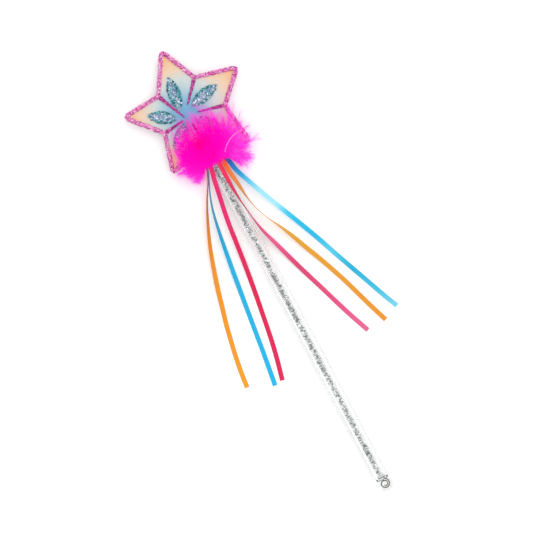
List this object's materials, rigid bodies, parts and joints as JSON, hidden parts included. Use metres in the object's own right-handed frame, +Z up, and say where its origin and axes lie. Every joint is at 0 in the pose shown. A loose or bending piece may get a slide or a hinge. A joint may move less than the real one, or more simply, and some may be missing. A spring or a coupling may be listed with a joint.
{
  "type": "toy magic wand",
  "caption": "Pretend-play wand: fabric star on a wire frame, feather puff and loose satin ribbons on a clear tinsel-filled stick with a ball end.",
  "frame": {"origin": "on the surface that the wand lies on, under the middle of the wand without its ribbons", "axes": "+Y along the stick towards the star, +Z up from the surface, +X to the right with the star ahead"},
  "size_m": [0.1302, 0.3658, 0.026],
  "materials": {
    "clear_plastic": "clear moulded plastic, glossy",
    "silver_foil": "metallised foil tinsel, shiny",
    "white_plastic": "plain moulded plastic",
    "steel_wire": "plain drawn wire",
    "sheer_fabric": "sheer printed fabric, light blue in the middle fading to peach at the tips",
    "pink_glitter": "glitter glue, rough and sparkling",
    "teal_glitter": "coarse glitter with lilac and white flakes",
    "magenta_feather": "dyed marabou feather, soft",
    "orange_satin": "satin ribbon",
    "blue_satin": "satin ribbon",
    "pink_red_satin": "satin ribbon"
  },
  "bodies": {
    "wand": {"wand_tube": "clear_plastic", "end_ball": "clear_plastic", "tinsel_strand": "silver_foil", "neck_plug": "white_plastic", "star_wire": "steel_wire", "star_front_skin": "sheer_fabric", "star_back_skin": "sheer_fabric", "edge_bead_front": "pink_glitter", "edge_bead_back": "pink_glitter", "rib_1": "pink_glitter", "rib_2": "pink_glitter", "rib_3": "pink_glitter", "rib_4": "pink_glitter", "rib_5": "pink_glitter", "petal_1": "teal_glitter", "petal_2": "teal_glitter", "petal_3": "teal_glitter", "petal_4": "teal_glitter", "petal_5": "teal_glitter", "ribbon_tie": "pink_red_satin", "feather_cord": "magenta_feather", "feather_puff": "magenta_feather"},
    "left_orange_ribbon": {"ribbon_left_orange": "orange_satin"},
    "left_blue_ribbon": {"ribbon_left_blue": "blue_satin"},
    "left_pink_ribbon": {"ribbon_left_pink": "pink_red_satin"},
    "right_pink_ribbon": {"ribbon_right_pink": "pink_red_satin"},
    "right_orange_ribbon": {"ribbon_right_orange": "orange_satin"},
    "right_blue_ribbon": {"ribbon_right_blue": "blue_satin"}
  },
  "joints": [
    {"name": "left_orange_swing", "type": "hinge", "parent": "wand", "child": "left_orange_ribbon", "pos_m": [-0.009, 0.0905, 0.005], "axis": [-1, 0, 0], "range_deg": [0, 70]},
    {"name": "left_blue_swing", "type": "hinge", "parent": "wand", "child": "left_blue_ribbon", "pos_m": [-0.0082, 0.0905, 0.0088], "axis": [-1, 0, 0], "range_deg": [0, 70]},
    {"name": "left_pink_swing", "type": "hinge", "parent": "wand", "child": "left_pink_ribbon", "pos_m": [-0.0056, 0.0905, 0.0116], "axis": [-1, 0, 0], "range_deg": [0, 70]},
    {"name": "right_pink_swing", "type": "hinge", "parent": "wand", "child": "right_pink_ribbon", "pos_m": [0.001, 0.0905, 0.0112], "axis": [-1, 0, 0], "range_deg": [0, 70]},
    {"name": "right_orange_swing", "type": "hinge", "parent": "wand", "child": "right_orange_ribbon", "pos_m": [0.0044, 0.0905, 0.009], "axis": [-1, 0, 0], "range_deg": [0, 70]},
    {"name": "right_blue_swing", "type": "hinge", "parent": "wand", "child": "right_blue_ribbon", "pos_m": [0.0076, 0.0905, 0.0066], "axis": [-1, 0, 0], "range_deg": [0, 70]}
  ]
}
